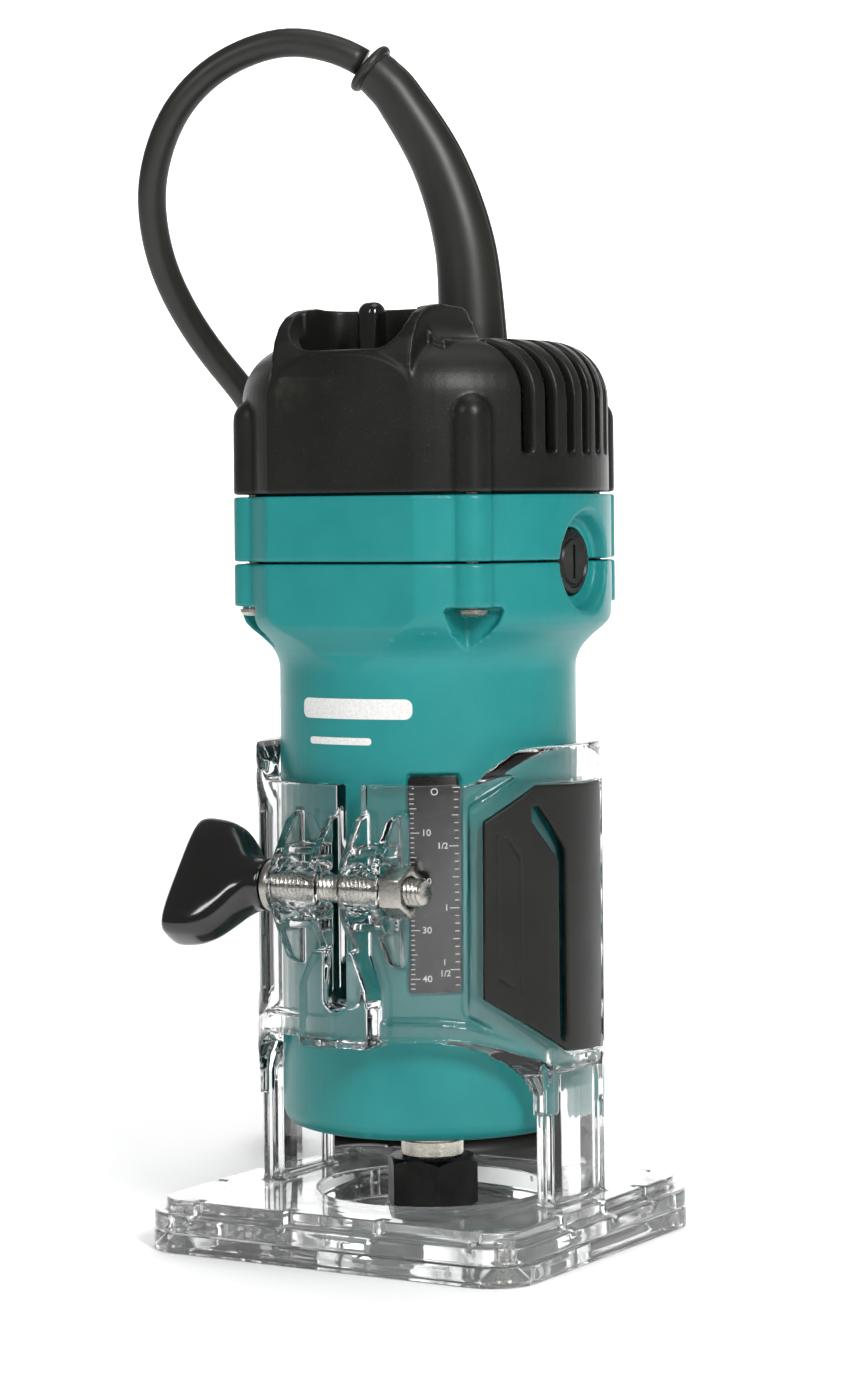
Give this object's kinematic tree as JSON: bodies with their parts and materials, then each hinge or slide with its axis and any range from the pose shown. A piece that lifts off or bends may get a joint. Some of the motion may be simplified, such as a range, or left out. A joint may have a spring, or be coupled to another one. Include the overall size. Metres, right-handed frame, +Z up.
{
  "type": "trim router",
  "caption": "Upright hand-held trim router: a slim electric motor unit clamped in a clear plastic depth-setting base, with a looped mains cord and plug.",
  "frame": {"origin": "centre of the footprint on the surface that the base stands on, measured without the free cord, its coil and its plug", "axes": "+Z up along the spindle, -Y to the front where the base clamp and the switch are, -X to the side of the clamp knob"},
  "size_m": [0.1405, 0.1874, 0.2618],
  "materials": {
    "clear_plastic": "polished transparent acrylic",
    "teal_plastic": "satin moulded plastic with a fine texture",
    "black_plastic": "satin moulded plastic with a fine texture",
    "gloss_plastic": "polished moulded plastic",
    "rubber": "matt flexible PVC or elastomer",
    "steel": "turned and plated",
    "black_steel": "black oxide",
    "brass": "turned",
    "copper": "enamelled winding or copper bar",
    "laminations": "stacked sheet",
    "carbon": "pressed carbon",
    "label_film": "printed film",
    "yellow_film": "moulded case"
  },
  "bodies": {
    "base": {"base_plate": "clear_plastic", "base_housing": "clear_plastic", "base_screw_1": "steel", "base_screw_2": "steel", "base_screw_3": "steel", "base_screw_4": "steel", "grip_right": "rubber", "grip_left": "rubber", "clamp_nut": "steel", "cord_coil": "rubber", "cord_tail": "rubber", "plug_body": "rubber", "plug_pin_left": "steel", "plug_pin_right": "steel"},
    "washer": {"clamp_washer": "steel"},
    "knob": {"clamp_knob": "gloss_plastic", "clamp_screw": "steel"},
    "motor": {"motor_housing": "teal_plastic", "depth_scale": "label_film", "brush_ring": "teal_plastic", "rear_cover": "black_plastic", "housing_screw_1": "steel", "housing_screw_2": "steel", "housing_screw_3": "steel", "housing_screw_4": "steel", "brush_cap_right": "black_plastic", "brush_cap_left": "black_plastic", "brush_holder_right": "brass", "brush_holder_left": "brass", "carbon_brush_right": "carbon", "carbon_brush_left": "carbon", "brush_spring_right": "steel", "brush_spring_left": "steel", "stator_core": "laminations", "field_coil_back": "copper", "field_coil_front": "copper", "lower_bearing": "steel", "upper_bearing": "steel", "bearing_sleeve": "rubber", "air_baffle": "black_plastic", "switch_body": "black_plastic", "suppressor": "yellow_film", "cord_clamp": "black_plastic", "cord_clamp_screw_1": "steel", "cord_clamp_screw_2": "steel", "cord_guard": "rubber", "cord_run": "rubber"},
    "spindle": {"armature_shaft": "steel", "armature_core": "laminations", "armature_winding_low": "copper", "armature_winding_high": "copper", "commutator": "copper", "cooling_fan": "black_plastic"},
    "collet": {"collet_cone": "steel"},
    "nut": {"collet_nut": "black_steel"},
    "lever": {"switch_lever": "gloss_plastic"}
  },
  "joints": [
    {"name": "depth_slide", "type": "slide", "parent": "base", "child": "motor", "axis": [0, 0, 1], "range_m": [0, 0.04], "deforming": ["cord_run"]},
    {"name": "clamp_travel", "type": "slide", "parent": "base", "child": "washer", "axis": [-1, 0, 0], "range_m": [0, 0.002]},
    {"name": "clamp_turn", "type": "hinge", "parent": "washer", "child": "knob", "pos_m": [-0.0122, -0.03526, 0.0778], "axis": [-1, 0, 0], "range_deg": [0, 720]},
    {"name": "spindle_spin", "type": "hinge", "parent": "motor", "child": "spindle", "pos_m": [0.0018, 0.00494, 0.03], "axis": [0, 0, 1], "continuous": true},
    {"name": "collet_travel", "type": "slide", "parent": "spindle", "child": "collet", "axis": [0, 0, -1], "range_m": [0, 0.0015]},
    {"name": "collet_nut_turn", "type": "hinge", "parent": "collet", "child": "nut", "pos_m": [0.0018, 0.00494, 0.012], "axis": [0, 0, -1], "range_deg": [0, 540]},
    {"name": "switch_toggle", "type": "hinge", "parent": "motor", "child": "lever", "pos_m": [0.0018, -0.01656, 0.181], "axis": [1, 0, 0], "range_deg": [0, 22]}
  ],
  "couplings": [
    {"joint": "clamp_turn", "follows": "clamp_travel", "rad_per_m": 6283},
    {"joint": "collet_nut_turn", "follows": "collet_travel", "rad_per_m": 6283}
  ]
}
